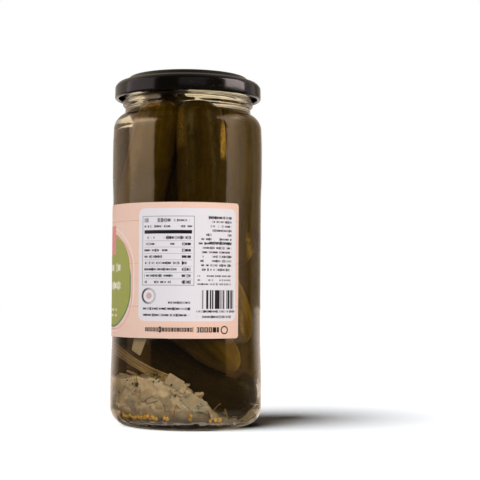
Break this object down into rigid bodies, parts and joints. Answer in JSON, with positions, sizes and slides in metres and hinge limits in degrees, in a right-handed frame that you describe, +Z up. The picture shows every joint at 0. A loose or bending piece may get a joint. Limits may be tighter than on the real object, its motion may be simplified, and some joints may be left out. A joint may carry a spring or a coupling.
{
  "type": "pickle jar",
  "caption": "Tall clear glass jar of whole gherkins in brine over a bed of diced onion, with a black twist-off cap and a pale wrap-round paper label.",
  "frame": {"origin": "centre of the jar's foot, on the surface it stands on", "axes": "+Z up the jar's axis to the cap; -Y is the side in the picture, the back of the pack; +X to its right, where the label leaves the glass clear"},
  "size_m": [0.075, 0.075, 0.1731],
  "materials": {
    "jar_glass": "smooth clear moulded glass",
    "black_lacquer": "gloss black lacquer on tinplate",
    "label_paper": "printed paper, light satin varnish, pale plank pattern",
    "gherkin_skin": "wet olive gherkin skin, slightly warty",
    "onion_flesh": "soft pickled onion, dill stalk and mustard seed"
  },
  "bodies": {
    "root": {"jar": "jar_glass", "lid": "black_lacquer", "label": "label_paper", "gherkins": "gherkin_skin", "onion_bed": "onion_flesh"}
  },
  "joints": []
}
